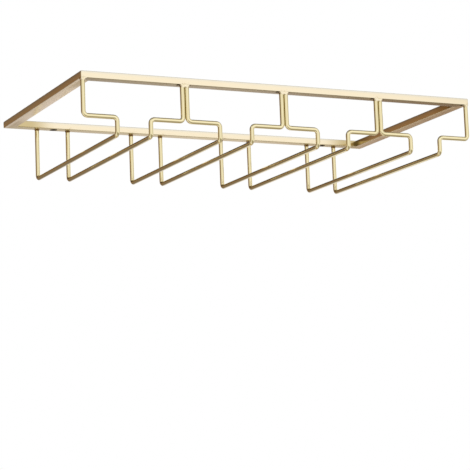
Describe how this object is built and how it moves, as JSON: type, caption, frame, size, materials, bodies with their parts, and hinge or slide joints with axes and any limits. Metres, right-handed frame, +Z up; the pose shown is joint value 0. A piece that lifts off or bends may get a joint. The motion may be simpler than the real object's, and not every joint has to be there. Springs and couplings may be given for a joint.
{
  "type": "hanging wine glass rack",
  "caption": "Under-cabinet rack: a flat mitred tube frame with bent rail wires that form open channels for upside-down stemmed glasses.",
  "frame": {"origin": "centre of the frame's top plane, which lies against the underside of the cabinet", "axes": "+X along the rack's width, to the right of someone facing its open front; +Y from the front to the back; +Z up"},
  "size_m": [0.43, 0.232, 0.0621],
  "materials": {
    "frame_gold": "satin",
    "wire_gold": "satin",
    "weld_gold": "satin"
  },
  "bodies": {
    "root": {"front_bar": "frame_gold", "back_bar": "frame_gold", "left_bar": "frame_gold", "right_bar": "frame_gold", "rail_wire_1_left": "wire_gold", "rail_wire_1_right": "wire_gold", "rail_wire_2_left": "wire_gold", "rail_wire_2_right": "wire_gold", "rail_wire_3_left": "wire_gold", "rail_wire_3_right": "wire_gold", "rail_wire_4_left": "wire_gold", "rail_wire_4_right": "wire_gold", "front_weld_1": "weld_gold", "front_weld_2": "weld_gold", "front_weld_3": "weld_gold", "front_weld_4": "weld_gold", "front_weld_5": "weld_gold", "back_weld_1_left": "weld_gold", "back_weld_1_right": "weld_gold", "back_weld_2_left": "weld_gold", "back_weld_2_right": "weld_gold", "back_weld_3_left": "weld_gold", "back_weld_3_right": "weld_gold", "back_weld_4_left": "weld_gold", "back_weld_4_right": "weld_gold"}
  },
  "joints": []
}
